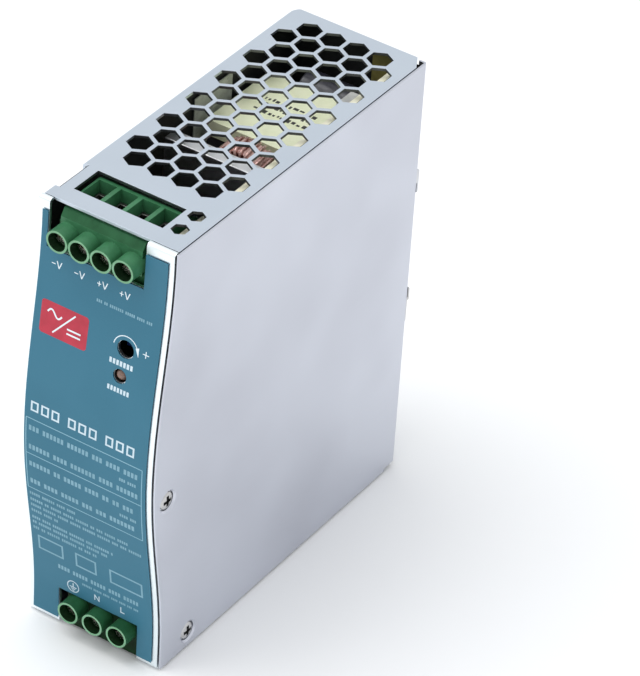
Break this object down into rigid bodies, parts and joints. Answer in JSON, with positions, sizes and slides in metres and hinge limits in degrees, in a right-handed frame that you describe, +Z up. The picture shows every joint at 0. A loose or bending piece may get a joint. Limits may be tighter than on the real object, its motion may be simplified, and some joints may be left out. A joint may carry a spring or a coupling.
{
  "type": "din rail power supply",
  "caption": "Slim metal-cased power supply that clips to a mounting rail, with screw terminals at top and bottom, a curved front label, a trimmer and a vented top.",
  "frame": {"origin": "middle of the overall box's footprint, at the height of the base", "axes": "+X to the side cover, on the right seen from the front; +Y back to the rail; +Z up to the output terminals"},
  "size_m": [0.04, 0.1144, 0.1252],
  "materials": {
    "case": "satin",
    "cover": "satin",
    "label": "matte printed film",
    "steel": "zinc plated",
    "hook": "zinc plated",
    "terminal": "moulded satin",
    "brass": "tin plated",
    "board": "laminate",
    "sheet": "matte",
    "ferrite": "matte",
    "tape": "satin tape",
    "copper": "enamelled wire",
    "sleeve": "shrink sleeve",
    "film": "moulded",
    "aluminium": "mill finish",
    "epoxy": "moulded",
    "ceramic": "glazed",
    "blue": "moulded",
    "rotor": "moulded",
    "amber": "diffusing lens"
  },
  "bodies": {
    "case": {"chassis": "case", "side_cover": "cover", "front_panel": "cover", "front_label": "label", "cover_screw_1": "steel", "cover_screw_2": "steel", "board_spacer_1": "brass", "board_spacer_2": "brass", "board_spacer_3": "brass", "rail_hook": "hook", "latch_rivet_1": "steel", "latch_rivet_2": "steel", "latch_spring": "steel", "output_terminal_body": "terminal", "input_terminal_body": "terminal", "output_board": "board", "input_board": "board", "main_board": "board", "insulation_sheet": "sheet", "transformer_core": "ferrite", "transformer_winding": "tape", "bulk_capacitor_1": "sleeve", "bulk_capacitor_2": "sleeve", "output_capacitor_1": "sleeve", "output_capacitor_2": "sleeve", "output_capacitor_3": "sleeve", "output_choke": "copper", "common_mode_choke": "copper", "x_capacitor": "film", "heatsink_secondary": "aluminium", "heatsink_primary": "aluminium", "output_rectifier": "epoxy", "switch_transistor": "epoxy", "bridge_rectifier": "epoxy", "fuse": "ceramic", "trimmer_body": "blue", "status_led": "amber", "output_contact_1": "brass", "output_contact_2": "brass", "output_contact_3": "brass", "output_contact_4": "brass", "input_contact_1": "brass", "input_contact_2": "brass", "input_contact_3": "brass"},
    "latch": {"rail_latch": "steel"},
    "trimmer": {"trimmer_rotor": "rotor"},
    "output_screw_1": {"output_screw_1": "steel"},
    "output_clamp_1": {"output_clamp_1": "steel"},
    "output_screw_2": {"output_screw_2": "steel"},
    "output_clamp_2": {"output_clamp_2": "steel"},
    "output_screw_3": {"output_screw_3": "steel"},
    "output_clamp_3": {"output_clamp_3": "steel"},
    "output_screw_4": {"output_screw_4": "steel"},
    "output_clamp_4": {"output_clamp_4": "steel"},
    "input_screw_1": {"input_screw_1": "steel"},
    "input_clamp_1": {"input_clamp_1": "steel"},
    "input_screw_2": {"input_screw_2": "steel"},
    "input_clamp_2": {"input_clamp_2": "steel"},
    "input_screw_3": {"input_screw_3": "steel"},
    "input_clamp_3": {"input_clamp_3": "steel"}
  },
  "joints": [
    {"name": "latch_slide", "type": "slide", "parent": "case", "child": "latch", "axis": [0, 0, -1], "range_m": [0, 0.004], "stiffness_N_per_m": 1500, "springref_m": -0.0012, "deforming": ["latch_spring"]},
    {"name": "trimmer_turn", "type": "hinge", "parent": "case", "child": "trimmer", "pos_m": [0.0083, -0.0494, 0.0948], "axis": [0, 1, 0], "range_deg": [-130, 130]},
    {"name": "output_screw_1_turn", "type": "hinge", "parent": "case", "child": "output_screw_1", "pos_m": [-0.01159, -0.0529, 0.1175], "axis": [0, 1, 0], "range_deg": [0, 1800]},
    {"name": "output_clamp_1_slide", "type": "slide", "parent": "case", "child": "output_clamp_1", "axis": [0, -1, 0], "range_m": [0, 0.0025]},
    {"name": "output_screw_2_turn", "type": "hinge", "parent": "case", "child": "output_screw_2", "pos_m": [-0.00524, -0.0529, 0.1175], "axis": [0, 1, 0], "range_deg": [0, 1800]},
    {"name": "output_clamp_2_slide", "type": "slide", "parent": "case", "child": "output_clamp_2", "axis": [0, -1, 0], "range_m": [0, 0.0025]},
    {"name": "output_screw_3_turn", "type": "hinge", "parent": "case", "child": "output_screw_3", "pos_m": [0.00111, -0.0529, 0.1175], "axis": [0, 1, 0], "range_deg": [0, 1800]},
    {"name": "output_clamp_3_slide", "type": "slide", "parent": "case", "child": "output_clamp_3", "axis": [0, -1, 0], "range_m": [0, 0.0025]},
    {"name": "output_screw_4_turn", "type": "hinge", "parent": "case", "child": "output_screw_4", "pos_m": [0.00745, -0.0529, 0.1175], "axis": [0, 1, 0], "range_deg": [0, 1800]},
    {"name": "output_clamp_4_slide", "type": "slide", "parent": "case", "child": "output_clamp_4", "axis": [0, -1, 0], "range_m": [0, 0.0025]},
    {"name": "input_screw_1_turn", "type": "hinge", "parent": "case", "child": "input_screw_1", "pos_m": [-0.0054, -0.0529, 0.0077], "axis": [0, 1, 0], "range_deg": [0, 1800]},
    {"name": "input_clamp_1_slide", "type": "slide", "parent": "case", "child": "input_clamp_1", "axis": [0, -1, 0], "range_m": [0, 0.0025]},
    {"name": "input_screw_2_turn", "type": "hinge", "parent": "case", "child": "input_screw_2", "pos_m": [0.002, -0.0529, 0.0077], "axis": [0, 1, 0], "range_deg": [0, 1800]},
    {"name": "input_clamp_2_slide", "type": "slide", "parent": "case", "child": "input_clamp_2", "axis": [0, -1, 0], "range_m": [0, 0.0025]},
    {"name": "input_screw_3_turn", "type": "hinge", "parent": "case", "child": "input_screw_3", "pos_m": [0.0094, -0.0529, 0.0077], "axis": [0, 1, 0], "range_deg": [0, 1800]},
    {"name": "input_clamp_3_slide", "type": "slide", "parent": "case", "child": "input_clamp_3", "axis": [0, -1, 0], "range_m": [0, 0.0025]}
  ],
  "couplings": [
    {"joint": "output_screw_1_turn", "follows": "output_clamp_1_slide", "rad_per_m": 12566},
    {"joint": "output_screw_2_turn", "follows": "output_clamp_2_slide", "rad_per_m": 12566},
    {"joint": "output_screw_3_turn", "follows": "output_clamp_3_slide", "rad_per_m": 12566},
    {"joint": "output_screw_4_turn", "follows": "output_clamp_4_slide", "rad_per_m": 12566},
    {"joint": "input_screw_1_turn", "follows": "input_clamp_1_slide", "rad_per_m": 12566},
    {"joint": "input_screw_2_turn", "follows": "input_clamp_2_slide", "rad_per_m": 12566},
    {"joint": "input_screw_3_turn", "follows": "input_clamp_3_slide", "rad_per_m": 12566}
  ]
}
